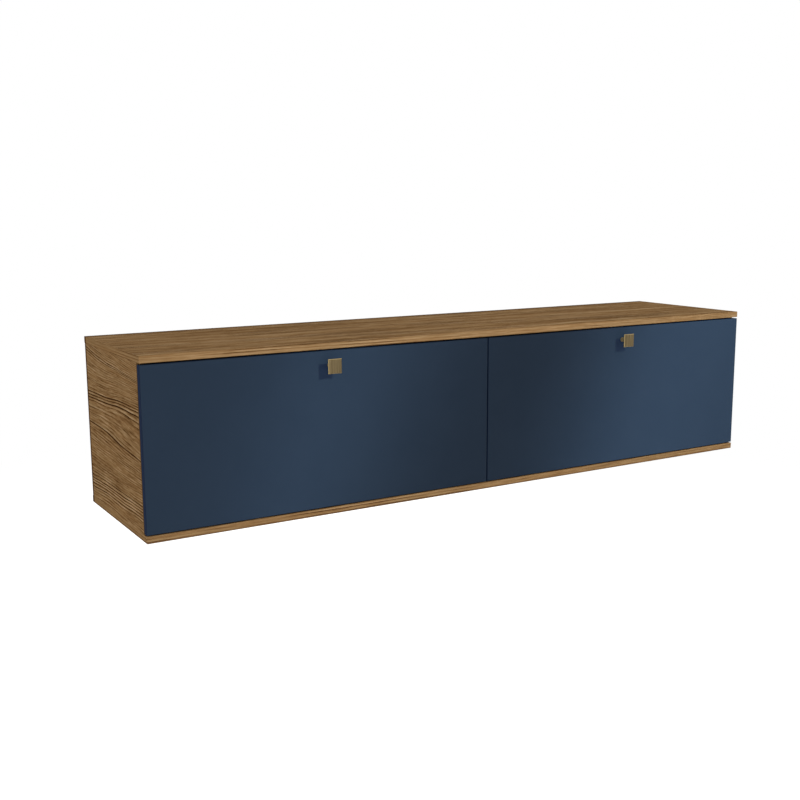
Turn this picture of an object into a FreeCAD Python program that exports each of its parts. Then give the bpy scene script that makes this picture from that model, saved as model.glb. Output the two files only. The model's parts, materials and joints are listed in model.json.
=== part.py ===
"""Wall-hung low cabinet with two drop-down flap doors, as an assembly of its real pieces.

Row frame, in millimetres: X runs along the cabinet to the right, the doors face -Y and Z is up.
The origin is on the wall plane, in the middle of the width, at the underside of the bottom panel.
"""
import FreeCAD, Part
import math
import os
import Sketcher

doc = FreeCAD.newDocument("wall_cabinet")

# Driving dimensions
SIZES = (
    # Carcass
    ("unit_width", 1800),
    ("unit_height", 412),
    ("unit_depth", 416),
    ("board", 16),
    ("edge_round", 0.8),
    ("back_thickness", 3),
    ("back_side_inset", 2),
    ("back_play", 0.5),
    ("rail_height", 80),
    ("wall_hole_radius", 4),
    ("wall_hole_spacing", 600),
    ("cable_hole_radius", 30),
    ("cable_hole_height", 120),
    # Doors
    ("door_thickness", 16),
    ("door_reveal", 4),
    ("door_lift", 3),
    ("door_split", 3),
    ("door_standoff", 3.5),
    ("door_round", 1.2),
    # Knobs
    ("knob_side", 34.5),
    ("knob_plate", 3),
    ("knob_bevel", 1),
    ("knob_projection", 28.5),
    ("knob_drop", 33.5),
    ("neck_radius", 6.25),
    ("knob_screw_radius", 2),
    ("knob_thread_depth", 10),
    ("knob_head_radius", 4.25),
    ("knob_head_height", 2.4),
    # Hinges: a pin in each cup, on a gooseneck arm that is screwed to the bottom panel
    ("hinge_from_end", 110),
    ("pivot_in", 7.4),
    ("pivot_up", 7.4),
    ("pin_radius", 1.5),
    ("pin_play", 0.05),
    ("pin_length", 19),
    ("cup_radius", 17.5),
    ("cup_play", 0.1),
    ("cup_edge", 3),
    ("cup_depth", 12.4),
    ("cup_wall", 0.8),
    ("flange_lip", 1.5),
    ("flange_thickness", 1.2),
    ("wing_length", 56),
    ("wing_height", 13),
    ("wing_rise", 9.5),
    ("wing_screw_spacing", 45),
    ("arm_width", 9),
    ("arm_play", 0.35),
    ("arm_thickness", 2.4),
    ("arm_bend", 2.6),
    ("eye_radius", 2.6),
    ("arm_rise", 12),
    ("arm_reach", 13.3),
    ("foot_length", 42),
    ("foot_width", 15),
    ("plate_length", 44),
    ("plate_width", 46),
    ("plate_thickness", 2),
    ("plate_round", 5),
    ("plate_screw_spacing", 31),
    # Stays: slotted bars on a door bracket, which slide on studs in the sides and the divider
    ("stay_standoff", 12),
    ("stay_up", 92),
    ("stay_guide_angle", 48),
    ("stay_from_side", 7.2),
    ("bar_width", 14),
    ("bar_thickness", 2),
    ("slot_play", 0.3),
    ("stay_play", 0.3),
    ("guide_radius", 3),
    ("guide_head_radius", 6),
    ("guide_head", 2),
    ("guide_shoulder_radius", 5),
    ("guide_flange_radius", 8),
    ("guide_flange", 2),
    ("rivet_radius", 3),
    ("rivet_play", 0.05),
    ("rivet_head_radius", 5),
    ("rivet_head", 1.4),
    ("lug_thickness", 2),
    ("lug_radius", 9),
    ("bracket_width", 25),
    ("bracket_height", 38),
    ("bracket_thickness", 2),
    ("bracket_screw_spacing", 24),
    # Magnetic catches and bumpers
    ("catch_length", 50),
    ("catch_block", 26),
    ("catch_height", 15),
    ("catch_depth", 14),
    ("catch_ear", 3),
    ("catch_screw_spacing", 38),
    ("catch_gap", 0.25),
    ("pole_length", 20),
    ("pole_thickness", 1.6),
    ("pole_depth", 8),
    ("pole_proud", 0.6),
    ("pole_spacing", 6),
    ("strike_length", 46),
    ("strike_height", 9),
    ("strike_thickness", 1.5),
    ("strike_screw_spacing", 36),
    ("bumper_radius", 3),
    ("bumper_gap", 0.3),
    # Fasteners
    ("screw_radius", 1.75),
    ("screw_length", 12),
    ("screw_head_radius", 3.6),
    ("screw_head", 1.7),
    ("hole_play", 0.1),
    ("pilot_depth", 12.5),
    ("nail_radius", 1.1),
    ("nail_length", 16),
    ("nail_head_radius", 3),
    ("nail_head", 1.6),
    ("dowel_radius", 4),
    ("dowel_length", 30),
    ("dowel_bevel", 0.8),
    ("face_depth", 7.5),
    ("cam_radius", 7.5),
    ("cam_height", 12.5),
    ("cam_inset", 24),
    ("cam_slot", 1.6),
    ("bolt_radius", 2.5),
    ("bolt_neck_radius", 2),
    ("bolt_head_radius", 3.3),
    ("bolt_head", 5),
    ("bolt_bore_radius", 3.6),
    ("joint_from_edge", 60),
    ("dowel_from_edge", 92),
    ("rail_dowel_drop", 20),
    ("rail_cam_drop", 56),
)

# Places and lengths that follow from the driving dimensions
PLACES = (
    ("half_width", "sizes.unit_width / 2"),
    ("carcass_top", "sizes.unit_height - sizes.board"),
    ("door_back", "sizes.door_thickness - sizes.unit_depth"),
    ("carcass_front", "door_back + sizes.door_standoff"),
    ("carcass_back", "-sizes.back_thickness"),
    ("side_inner", "half_width - sizes.board"),
    ("divider_half", "sizes.board / 2"),
    ("side_middle", "half_width - sizes.board / 2"),
    ("bay_middle", "(side_inner + divider_half) / 2"),
    ("rail_middle", "carcass_back - sizes.board / 2"),
    ("rail_bottom", "carcass_top - sizes.rail_height"),
    ("door_bottom", "sizes.board + sizes.door_lift"),
    ("door_top", "carcass_top - sizes.door_reveal"),
    ("door_inner", "sizes.door_split / 2"),
    ("door_middle", "(door_inner + half_width) / 2"),
    ("knob_height", "door_top - sizes.knob_drop"),
    ("pivot_back", "-sizes.unit_depth + sizes.pivot_in"),
    ("pivot_height", "door_bottom + sizes.pivot_up"),
    ("hinge_outer", "half_width - sizes.hinge_from_end"),
    ("hinge_inner", "door_inner + sizes.hinge_from_end"),
    ("back_face", "sizes.door_thickness - sizes.pivot_in"),
    ("cup_centre", "sizes.cup_edge + sizes.cup_radius - sizes.pivot_up"),
    ("cup_outer", "sizes.cup_radius - sizes.cup_play"),
    ("cup_screw_height", "cup_centre + sizes.wing_rise"),
    ("plate_bottom", "-(sizes.door_lift + sizes.pivot_up)"),
    ("plate_top", "plate_bottom + sizes.plate_thickness"),
    ("foot_top", "plate_top + sizes.arm_thickness"),
    ("plate_front", "sizes.arm_reach"),
    ("plate_screw_back", "plate_front + sizes.plate_length / 2"),
    ("arm_screw_back", "plate_front + sizes.plate_length * 3 / 4"),
    ("screw_hole", "sizes.screw_radius + sizes.hole_play"),
    ("stay_in", "back_face + sizes.stay_standoff"),
    ("stay_arm", "sqrt(stay_in * stay_in + sizes.stay_up * sizes.stay_up)"),
    ("guide_in", "stay_arm * cos(sizes.stay_guide_angle)"),
    ("guide_up", "stay_arm * sin(sizes.stay_guide_angle)"),
    ("stay_back", "pivot_back + stay_in"),
    ("stay_height", "pivot_height + sizes.stay_up"),
    ("guide_back", "pivot_back + guide_in"),
    ("guide_height", "pivot_height + guide_up"),
    ("shut_run", "guide_in - stay_in"),
    ("shut_drop", "sizes.stay_up - guide_up"),
    ("reach_shut", "sqrt(shut_run * shut_run + shut_drop * shut_drop)"),
    ("open_run", "guide_in + sizes.stay_up"),
    ("open_rise", "guide_up - stay_in"),
    ("reach_open", "sqrt(open_run * open_run + open_rise * open_rise)"),
    ("bar_outer", "sizes.stay_from_side + sizes.bar_thickness"),
    ("lug_in", "bar_outer + sizes.stay_play"),
    ("lug_out", "lug_in + sizes.lug_thickness"),
    ("bracket_screw_in", "(lug_out + lug_in + sizes.bracket_width) / 2"),
    ("strike_face", "door_back + sizes.strike_thickness"),
    ("pole_front", "strike_face + sizes.catch_gap"),
    ("catch_front", "pole_front + sizes.pole_proud"),
    ("catch_back", "catch_front + sizes.catch_depth"),
    ("catch_middle", "catch_front + sizes.catch_depth / 2"),
    ("pole_height", "carcass_top - sizes.catch_height * 0.6"),
    ("bumper_height", "sizes.door_standoff - sizes.bumper_gap"),
    ("bumper_top", "door_top - sizes.bumper_radius * 3"),
    ("divider_bumper", "(door_inner + divider_half) / 2"),
    ("dowel_hole", "sizes.dowel_radius + sizes.hole_play"),
    ("dowel_end_depth", "sizes.dowel_length - sizes.face_depth + sizes.hole_play"),
    ("bolt_hole", "sizes.bolt_radius + sizes.hole_play"),
    ("cam_hole", "sizes.cam_radius + sizes.hole_play"),
    ("cam_depth", "sizes.cam_height + sizes.hole_play"),
    ("front_joint", "carcass_front + sizes.joint_from_edge"),
    ("rear_joint", "carcass_back - sizes.joint_from_edge"),
    ("front_dowel", "carcass_front + sizes.dowel_from_edge"),
    ("rear_dowel", "carcass_back - sizes.dowel_from_edge"),
    ("rail_dowel", "carcass_top - sizes.rail_dowel_drop"),
    ("rail_cam", "carcass_top - sizes.rail_cam_drop"),
    ("wall_hole_height", "carcass_top - sizes.rail_height / 2"),
    ("wall_hole_inner", "bay_middle - sizes.wall_hole_spacing / 2"),
    ("wall_hole_outer", "bay_middle + sizes.wall_hole_spacing / 2"),
    ("nail_hole", "sizes.nail_radius + sizes.hole_play"),
    ("nail_pilot", "sizes.nail_length - sizes.back_thickness + sizes.hole_play"),
    ("nail_low", "sizes.board + sizes.rail_height / 2"),
    ("nail_middle", "sizes.unit_height / 2"),
)

UP = FreeCAD.Rotation()
DOWN = FreeCAD.Rotation(FreeCAD.Vector(1, 0, 0), 180)
FRONT = FreeCAD.Rotation(FreeCAD.Vector(1, 0, 0), 90)
BACK = FreeCAD.Rotation(FreeCAD.Vector(1, 0, 0), -90)
RIGHT = FreeCAD.Rotation(FreeCAD.Vector(0, 1, 0), 90)
LEFT = FreeCAD.Rotation(FreeCAD.Vector(0, 1, 0), -90)
FLIPPED = FreeCAD.Rotation(FreeCAD.Vector(0, 1, 0), 180)
SIDES = (("left", -1), ("right", 1))
DOWEL_PLACES = ("places.front_dowel", "places.rear_dowel")
BOLT_PLACES = ("places.front_joint", "places.rear_joint")

sizes = doc.addObject("Spreadsheet::Sheet", "sizes")
for row, (alias, number) in enumerate(SIZES, start=1):
    sizes.set(f"A{row}", alias)
    sizes.set(f"B{row}", str(number))
    sizes.setAlias(f"B{row}", alias)
doc.recompute()

places = doc.addObject("Spreadsheet::Sheet", "places")
for row, (alias, formula) in enumerate(PLACES, start=1):
    places.set(f"A{row}", alias)
    places.set(f"B{row}", f"={formula}")
    places.setAlias(f"B{row}", alias)
doc.recompute()

nodes = []


# Drawing and feature helpers
def value(text):
    """The number that an expression gives now."""
    return float(sizes.evalExpression(text))


def new_body(label):
    body = doc.addObject("PartDesign::Body", label)
    body.Label = label
    return body


def sketch_on(body, role, level="0"):
    """A sketch on one of the body's own origin planes, moved along the plane's normal by level."""
    sketch = body.newObject("Sketcher::SketchObject", f"{body.Name}_sketch")
    plane = next(item for item in body.Origin.OriginFeatures if item.Role == role)
    sketch.AttachmentSupport = [(plane, "")]
    sketch.MapMode = "FlatFace"
    sketch.setExpression("AttachmentOffset.Base.z", level)
    return sketch


def bind_constraint(sketch, text, kind, *where):
    index = sketch.addConstraint(Sketcher.Constraint(kind, *where, value(text)))
    sketch.setExpression(f"Constraints[{index}]", text)


def place_point(sketch, geometry, position, across, up):
    bind_constraint(sketch, across, "DistanceX", -1, 1, geometry, position)
    bind_constraint(sketch, up, "DistanceY", -1, 1, geometry, position)


def draw_polygon(sketch, corners):
    """A closed outline through corners, each a pair of expressions."""
    points = [FreeCAD.Vector(value(across), value(up), 0) for across, up in corners]
    first = sketch.GeometryCount
    count = len(points)
    for index in range(count):
        sketch.addGeometry(Part.LineSegment(points[index], points[(index + 1) % count]), False)
    for index in range(count):
        following = first + (index + 1) % count
        sketch.addConstraint(Sketcher.Constraint("Coincident", first + index, 2, following, 1))
    for index, (across, up) in enumerate(corners):
        place_point(sketch, first + index, 1, across, up)


def draw_rectangle(sketch, left, right, low, high):
    draw_polygon(sketch, ((left, low), (right, low), (right, high), (left, high)))


def draw_circle(sketch, across, up, radius):
    centre = FreeCAD.Vector(value(across), value(up), 0)
    circle = Part.Circle(centre, FreeCAD.Vector(0, 0, 1), value(radius))
    index = sketch.addGeometry(circle, False)
    place_point(sketch, index, 3, across, up)
    bind_constraint(sketch, radius, "Radius", index)


def draw_bow(sketch, centre, radius, chord):
    """The part of a circle above a level chord: the circle's centre is on the sketch's upright axis."""
    middle = FreeCAD.Vector(0, value(centre), 0)
    half = math.sqrt(value(radius) ** 2 - (value(centre) - value(chord)) ** 2)
    low = math.asin((value(chord) - value(centre)) / value(radius))
    circle = Part.Circle(middle, FreeCAD.Vector(0, 0, 1), value(radius))
    arc = sketch.addGeometry(Part.ArcOfCircle(circle, low, math.pi - low), False)
    ends = (FreeCAD.Vector(-half, value(chord), 0), FreeCAD.Vector(half, value(chord), 0))
    line = sketch.addGeometry(Part.LineSegment(*ends), False)
    sketch.addConstraint(Sketcher.Constraint("Coincident", arc, 2, line, 1))
    sketch.addConstraint(Sketcher.Constraint("Coincident", line, 2, arc, 1))
    place_point(sketch, arc, 3, "0", centre)
    bind_constraint(sketch, radius, "Radius", arc)
    bind_constraint(sketch, chord, "DistanceY", -1, 1, line, 1)
    sketch.addConstraint(Sketcher.Constraint("Horizontal", line))


def pad(body, sketch, length, reverse=False):
    feature = body.newObject("PartDesign::Pad", f"{body.Name}_pad")
    feature.Profile = sketch
    feature.Reversed = reverse
    feature.setExpression("Length", length)
    return feature


def pocket(body, sketch, depth, along_normal=False, middle=False):
    """Cut the sketch's outline to a depth, against the plane's normal unless along_normal."""
    feature = body.newObject("PartDesign::Pocket", f"{body.Name}_pocket")
    feature.Profile = sketch
    feature.Reversed = along_normal
    feature.Midplane = middle
    feature.setExpression("Length", depth)
    return feature


def revolve(body, sketch, axis):
    feature = body.newObject("PartDesign::Revolution", f"{body.Name}_revolution")
    feature.Profile = sketch
    feature.ReferenceAxis = (sketch, [axis])
    feature.Angle = 360
    return feature


def drill(body, role, level, holes, depth, along_normal=False):
    """Round holes from one plane: holes are (across, up, radius) expressions."""
    sketch = sketch_on(body, role, level)
    for across, up, radius in holes:
        draw_circle(sketch, across, up, radius)
    return pocket(body, sketch, depth, along_normal)


def edges_where(shape, test):
    """Names of the edges whose two ends and middle all pass the test."""
    names = []
    for index, edge in enumerate(shape.Edges, start=1):
        points = [vertex.Point for vertex in edge.Vertexes] + [edge.CenterOfMass]
        if all(test(point) for point in points):
            names.append(f"Edge{index}")
    return names


def round_edges(body, feature, test, radius):
    doc.recompute()
    fillet = body.newObject("PartDesign::Fillet", f"{body.Name}_fillet")
    fillet.Base = (feature, edges_where(feature.Shape, test))
    fillet.setExpression("Radius", radius)
    return fillet


def bevel_edges(body, feature, test, size):
    doc.recompute()
    chamfer = body.newObject("PartDesign::Chamfer", f"{body.Name}_chamfer")
    chamfer.Base = (feature, edges_where(feature.Shape, test))
    chamfer.setExpression("Size", size)
    return chamfer


def near(first, second):
    return abs(first - second) < 0.001


def place_copy(name, pattern, spot, turn=UP):
    """A copy of a pattern piece at a spot, given as three expressions."""
    copy = doc.addObject("Part::Compound", name)
    copy.Links = [pattern]
    copy.Placement = FreeCAD.Placement(FreeCAD.Vector(), turn)
    for letter, text in zip("xyz", spot):
        copy.setExpression(f"Placement.Base.{letter}", text)
    return copy


def keep(piece, label):
    piece.Label = label
    nodes.append(piece)
    return piece


def keep_copy(label, pattern, spot, turn=UP):
    return keep(place_copy(label, pattern, spot, turn), label)


def keep_group(label, pattern, spots):
    """Separate copies of one pattern piece in one node: spots are (spot, turn) pairs."""
    copies = [
        place_copy(f"{label}_{number}", pattern, spot, turn)
        for number, (spot, turn) in enumerate(spots, start=1)
    ]
    group = doc.addObject("Part::Compound", label)
    group.Links = copies
    return keep(group, label)


def turned_pattern(label, profile):
    """A turned piece about Z: profile is (radius, height) expressions from the axis out and back."""
    body = new_body(label)
    sketch = sketch_on(body, "XZ_Plane")
    draw_polygon(sketch, profile)
    revolve(body, sketch, "V_Axis")
    return body


def signed(sign, text):
    return f"{sign} * ({text})"


# Places that several pieces share
def vertical_middles():
    """X of the middle of each upright board."""
    return ("-places.side_middle", "0", "places.side_middle")


def joint_holes():
    """Dowel and bolt holes for the uprights, as (x, y, radius), in a top or bottom panel's face."""
    holes = []
    for middle in vertical_middles():
        holes += [(middle, back, "places.dowel_hole") for back in DOWEL_PLACES]
        holes += [(middle, back, "places.bolt_hole") for back in BOLT_PLACES]
    return holes


def hinge_middles():
    """(label, X) of each hinge, from the left."""
    return (
        ("left_outer_hinge", "-places.hinge_outer"),
        ("left_inner_hinge", "-places.hinge_inner"),
        ("right_inner_hinge", "places.hinge_inner"),
        ("right_outer_hinge", "places.hinge_outer"),
    )


def upright_faces(sign):
    """(X of the inner face, turn) of the two uprights beside one bay, for the stays."""
    facing_in = UP if sign < 0 else FLIPPED
    facing_out = FLIPPED if sign < 0 else UP
    return (
        (signed(sign, "places.side_inner"), facing_in),
        (signed(sign, "places.divider_half"), facing_out),
    )


def stepped_in(face, turn, distance):
    """X at a distance from an upright's face, into the bay."""
    return f"{face} {'+' if turn is UP else '-'} {distance}"


# Carcass
def lying_panel(label, low, high, inner_level, inward):
    """Top or bottom panel: full width and depth, drilled on its inner face."""
    body = new_body(label)
    sketch = sketch_on(body, "XY_Plane", low)
    draw_rectangle(sketch, "-places.half_width", "places.half_width", "-sizes.unit_depth", "0")
    slab = pad(body, sketch, "sizes.board")
    front = -value("sizes.unit_depth")
    half = value("places.half_width")
    levels = (value(low), value(high))

    def shows(point):
        on_level = near(point.z, levels[0]) or near(point.z, levels[1])
        return on_level and (near(point.y, front) or near(abs(point.x), half))

    round_edges(body, slab, shows, "sizes.edge_round")
    drill(body, "XY_Plane", inner_level, joint_holes(), "sizes.face_depth", inward > 0)
    return keep(body, label)


def top_panel():
    body = lying_panel("top_panel", "places.carcass_top", "sizes.unit_height", "places.carcass_top", 1)
    holes = []
    for sign in (-1, 1):
        for step in (-1, 1):
            across = f"{sign} * places.door_middle + {step} * sizes.catch_screw_spacing / 2"
            holes.append((across, "places.catch_middle", "places.screw_hole"))
    drill(body, "XY_Plane", "places.carcass_top", holes, "sizes.pilot_depth", True)


def bottom_panel():
    body = lying_panel("bottom_panel", "0", "sizes.board", "sizes.board", -1)
    holes = []
    for _, middle in hinge_middles():
        for step in (-1, 1):
            across = f"{middle} + {step} * sizes.plate_screw_spacing / 2"
            back = "places.pivot_back + places.plate_screw_back"
            holes.append((across, back, "places.screw_hole"))
        holes.append((middle, "places.pivot_back + places.arm_screw_back", "places.screw_hole"))
    drill(body, "XY_Plane", "sizes.board", holes, "sizes.pilot_depth")


def upright(label, left, inner_faces, cam_face):
    """Side panel or divider: cams and dowels in its two ends, studs and rail joints in its faces."""
    body = new_body(label)
    sketch = sketch_on(body, "YZ_Plane", left)
    draw_rectangle(
        sketch, "places.carcass_front", "places.carcass_back", "sizes.board", "places.carcass_top"
    )
    pad(body, sketch, "sizes.board")
    middle = f"{left} + sizes.board / 2"
    for level, upward in (("sizes.board", True), ("places.carcass_top", False)):
        dowels = [(middle, back, "places.dowel_hole") for back in DOWEL_PLACES]
        drill(body, "XY_Plane", level, dowels, "places.dowel_end_depth", upward)
        bores = [(middle, back, "sizes.bolt_bore_radius") for back in BOLT_PLACES]
        drill(body, "XY_Plane", level, bores, "sizes.cam_inset", upward)
    cams = []
    for back in BOLT_PLACES:
        cams.append((back, "sizes.board + sizes.cam_inset", "places.cam_hole"))
        cams.append((back, "places.carcass_top - sizes.cam_inset", "places.cam_hole"))
    drill(body, "YZ_Plane", cam_face, cams, "places.cam_depth", cam_face == left)
    face_holes = (
        ("places.guide_back", "places.guide_height", "places.bolt_hole"),
        ("places.rail_middle", "places.rail_dowel", "places.dowel_hole"),
        ("places.rail_middle", "places.rail_cam", "places.bolt_hole"),
    )
    for face in inner_faces:
        drill(body, "YZ_Plane", face, face_holes, "sizes.face_depth", face == left)
    pilots = [(middle, height, "places.nail_hole") for height in ("places.nail_low", "places.nail_middle")]
    drill(body, "XZ_Plane", "-places.carcass_back", pilots, "places.nail_pilot", True)
    return keep(body, label)


def uprights():
    inner = "-places.side_inner"
    upright("left_side_panel", "-places.half_width", (inner,), inner)
    inner = "places.side_inner"
    upright("right_side_panel", inner, (inner,), inner)
    faces = ("-places.divider_half", "places.divider_half")
    upright("centre_divider", faces[0], faces, faces[0])


def back_panel():
    body = new_body("back_panel")
    sketch = sketch_on(body, "XZ_Plane")
    edge = "(places.half_width - sizes.back_side_inset)"
    draw_rectangle(
        sketch, f"-{edge}", edge, "sizes.board + sizes.back_play", "places.carcass_top - sizes.back_play"
    )
    for sign in (-1, 1):
        middle = f"{sign} * places.bay_middle"
        draw_circle(sketch, middle, "sizes.cable_hole_height", "sizes.cable_hole_radius")
        for across in ("places.wall_hole_inner", "places.wall_hole_outer"):
            draw_circle(sketch, f"{sign} * {across}", "places.wall_hole_height", "sizes.wall_hole_radius")
    pad(body, sketch, "sizes.back_thickness")
    holes = [(*spot, "places.nail_hole") for spot in nail_spots()]
    drill(body, "XZ_Plane", "0", holes, "sizes.back_thickness", True)
    sinks = [(*spot, "sizes.nail_head_radius + sizes.hole_play") for spot in nail_spots()]
    drill(body, "XZ_Plane", "0", sinks, "sizes.nail_head", True)
    keep(body, "back_panel")


def nail_spots():
    """(x, z) of the screws that hold the back to the uprights and the rails."""
    spots = []
    for middle in vertical_middles():
        spots.append((middle, "places.nail_low"))
        spots.append((middle, "places.nail_middle"))
    for sign in (-1, 1):
        spots.append((f"{sign} * places.bay_middle", "places.wall_hole_height"))
    return spots


def hanging_rail(side, sign):
    """Rail under the top panel that carries the cabinet on the wall screws."""
    label = f"{side}_hanging_rail"
    body = new_body(label)
    sketch = sketch_on(body, "XZ_Plane", "-places.carcass_back")
    inner = signed(sign, "places.divider_half")
    outer = signed(sign, "places.side_inner")
    draw_rectangle(sketch, inner, outer, "places.rail_bottom", "places.carcass_top")
    for across in ("places.wall_hole_inner", "places.wall_hole_outer"):
        draw_circle(sketch, f"{sign} * {across}", "places.wall_hole_height", "sizes.wall_hole_radius")
    pad(body, sketch, "sizes.board")
    pilot = [(f"{sign} * places.bay_middle", "places.wall_hole_height", "places.nail_hole")]
    drill(body, "XZ_Plane", "-places.carcass_back", pilot, "places.nail_pilot", True)
    for face, toward in ((inner, sign), (outer, -sign)):
        dowel = [("places.rail_middle", "places.rail_dowel", "places.dowel_hole")]
        drill(body, "YZ_Plane", face, dowel, "places.dowel_end_depth", toward > 0)
        bore = [("places.rail_middle", "places.rail_cam", "sizes.bolt_bore_radius")]
        drill(body, "YZ_Plane", face, bore, "sizes.cam_inset", toward > 0)
    cams = [
        (f"{inner} + {sign} * sizes.cam_inset", "places.rail_cam", "places.cam_hole"),
        (f"{outer} - {sign} * sizes.cam_inset", "places.rail_cam", "places.cam_hole"),
    ]
    drill(body, "XZ_Plane", "-places.carcass_back", cams, "places.cam_depth", True)
    keep(body, label)


# Knock-down fittings of the carcass
def dowel_pattern():
    """Beech dowel along Z, its seat in a face board at the origin, its long end up."""
    short = "-sizes.face_depth"
    long_end = "sizes.dowel_length - sizes.face_depth"
    return turned_pattern(
        "dowel_pattern",
        (
            ("0", short),
            ("sizes.dowel_radius - sizes.dowel_bevel", short),
            ("sizes.dowel_radius", f"{short} + sizes.dowel_bevel"),
            ("sizes.dowel_radius", f"{long_end} - sizes.dowel_bevel"),
            ("sizes.dowel_radius - sizes.dowel_bevel", long_end),
            ("0", long_end),
        ),
    )


def bolt_pattern():
    """Cam bolt along Z: thread below the origin in a face board, neck and head up in the cam."""
    head_low = "sizes.cam_inset - sizes.bolt_head / 2"
    head_high = "sizes.cam_inset + sizes.bolt_head / 2"
    return turned_pattern(
        "bolt_pattern",
        (
            ("0", "-sizes.face_depth"),
            ("sizes.bolt_radius", "-sizes.face_depth"),
            ("sizes.bolt_radius", "0"),
            ("sizes.bolt_head_radius", "0"),
            ("sizes.bolt_head_radius", "sizes.bolt_head"),
            ("sizes.bolt_neck_radius", "sizes.bolt_head"),
            ("sizes.bolt_neck_radius", head_low),
            ("sizes.bolt_head_radius", f"{head_low} + sizes.bolt_neck_radius / 2"),
            ("sizes.bolt_head_radius", head_high),
            ("0", head_high),
        ),
    )


def cam_pattern():
    """Cam lock: outer face at the origin facing up, open towards the bolt on its -X side."""
    body = new_body("cam_pattern")
    sketch = sketch_on(body, "XY_Plane")
    draw_circle(sketch, "0", "0", "sizes.cam_radius")
    pad(body, sketch, "sizes.cam_height", True)
    throat = sketch_on(body, "YZ_Plane", "-sizes.cam_radius")
    draw_circle(throat, "0", "-sizes.board / 2", "sizes.bolt_bore_radius")
    pocket(body, throat, "sizes.cam_radius + sizes.bolt_bore_radius", True)
    cross = sketch_on(body, "XY_Plane")
    half_long = "sizes.cam_radius * 0.6"
    half_slot = "sizes.cam_slot / 2"
    draw_polygon(
        cross,
        (
            (f"-{half_long}", f"-{half_slot}"),
            (f"-{half_slot}", f"-{half_slot}"),
            (f"-{half_slot}", f"-{half_long}"),
            (half_slot, f"-{half_long}"),
            (half_slot, f"-{half_slot}"),
            (half_long, f"-{half_slot}"),
            (half_long, half_slot),
            (half_slot, half_slot),
            (half_slot, half_long),
            (f"-{half_slot}", half_long),
            (f"-{half_slot}", half_slot),
            (f"-{half_long}", half_slot),
        ),
    )
    pocket(body, cross, "sizes.cam_slot")
    return body


def carcass_fittings():
    """Dowels, cam bolts and cam locks of the uprights and the rails."""
    dowels = []
    bolts = []
    cams = []
    outer_turns = {
        "-places.side_middle": ("-places.side_inner", RIGHT),
        "0": ("-places.divider_half", LEFT),
        "places.side_middle": ("places.side_inner", LEFT),
    }
    for middle in vertical_middles():
        face, facing = outer_turns[middle]
        for level, turn, step in (("sizes.board", UP, "+"), ("places.carcass_top", DOWN, "-")):
            for back in DOWEL_PLACES:
                dowels.append(((middle, back, level), turn))
            for back in BOLT_PLACES:
                bolts.append(((middle, back, level), turn))
                throat_down = FreeCAD.Rotation(FreeCAD.Vector(0, 0, 1), cam_spin(facing, step))
                height = f"{level} {step} sizes.cam_inset"
                cams.append(((face, back, height), facing.multiply(throat_down)))
    for sign in (-1, 1):
        for end, toward in (("places.divider_half", sign), ("places.side_inner", -sign)):
            turn = RIGHT if toward > 0 else LEFT
            face = signed(sign, end)
            dowels.append(((face, "places.rail_middle", "places.rail_dowel"), turn))
            bolts.append(((face, "places.rail_middle", "places.rail_cam"), turn))
            spin = FreeCAD.Rotation(FreeCAD.Vector(0, 0, 1), 0 if toward > 0 else 180)
            across = f"{face} + {toward} * sizes.cam_inset"
            cams.append(((across, "places.carcass_back", "places.rail_cam"), BACK.multiply(spin)))
    keep_group("wood_dowels", dowel_pattern(), dowels)
    keep_group("cam_bolts", bolt_pattern(), bolts)
    keep_group("cam_locks", cam_pattern(), cams)


def cam_spin(facing, step):
    """Turn about the cam's own axis that points its throat at the nearest panel."""
    throat_up = step == "-"
    if facing is RIGHT:
        return 0 if throat_up else 180
    return 180 if throat_up else 0


def back_screws():
    pattern = turned_pattern(
        "back_screw_pattern",
        (
            ("0", "-sizes.nail_length"),
            ("sizes.nail_radius", "-sizes.nail_length + sizes.nail_radius * 2"),
            ("sizes.nail_radius", "-sizes.nail_head"),
            ("sizes.nail_head_radius", "-sizes.nail_head / 4"),
            ("sizes.nail_head_radius", "0"),
            ("0", "0"),
        ),
    )
    keep_group("back_panel_screws", pattern, [((x, "0", z), BACK) for x, z in nail_spots()])


def screw_pattern():
    """Pan-head wood screw along Z, with the underside of its head at the origin."""
    return turned_pattern(
        "screw_pattern",
        (
            ("0", "-sizes.screw_length"),
            ("sizes.screw_radius", "-sizes.screw_length + sizes.screw_radius * 2"),
            ("sizes.screw_radius", "0"),
            ("sizes.screw_head_radius", "0"),
            ("sizes.screw_head_radius", "sizes.screw_head / 2"),
            ("sizes.screw_head_radius / 2", "sizes.screw_head"),
            ("0", "sizes.screw_head"),
        ),
    )


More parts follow.
